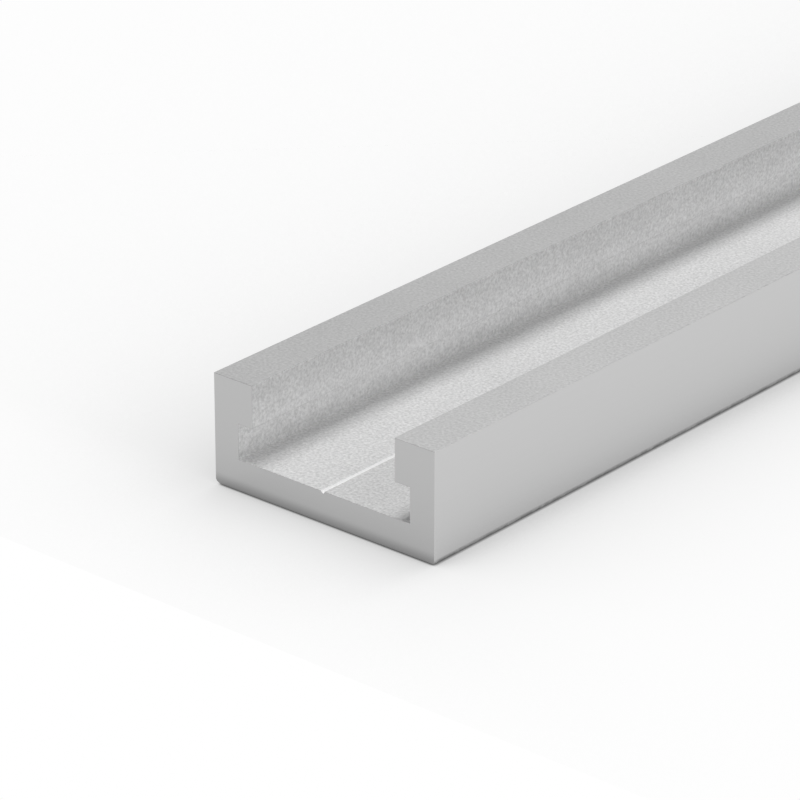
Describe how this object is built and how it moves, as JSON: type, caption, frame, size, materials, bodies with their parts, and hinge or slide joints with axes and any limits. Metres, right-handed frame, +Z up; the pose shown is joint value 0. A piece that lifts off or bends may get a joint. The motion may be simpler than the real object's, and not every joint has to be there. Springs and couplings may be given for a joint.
{
  "type": "aluminium t-track",
  "caption": "Straight aluminium T-track, an extruded channel whose thick lips overhang a T-shaped slot that guides and holds T-bolts, nuts and sliding bars.",
  "frame": {"origin": "middle of the flat underside, so the track lies on Z = 0 with its slot open upwards", "axes": "+X across the track, +Y along its length, +Z up out of the slot's mouth"},
  "size_m": [0.03, 0.3, 0.0128],
  "materials": {
    "anodised_aluminium": "matte bead-blasted and clear anodised, sawn ends"
  },
  "bodies": {
    "root": {"t_track": "anodised_aluminium"}
  },
  "joints": []
}
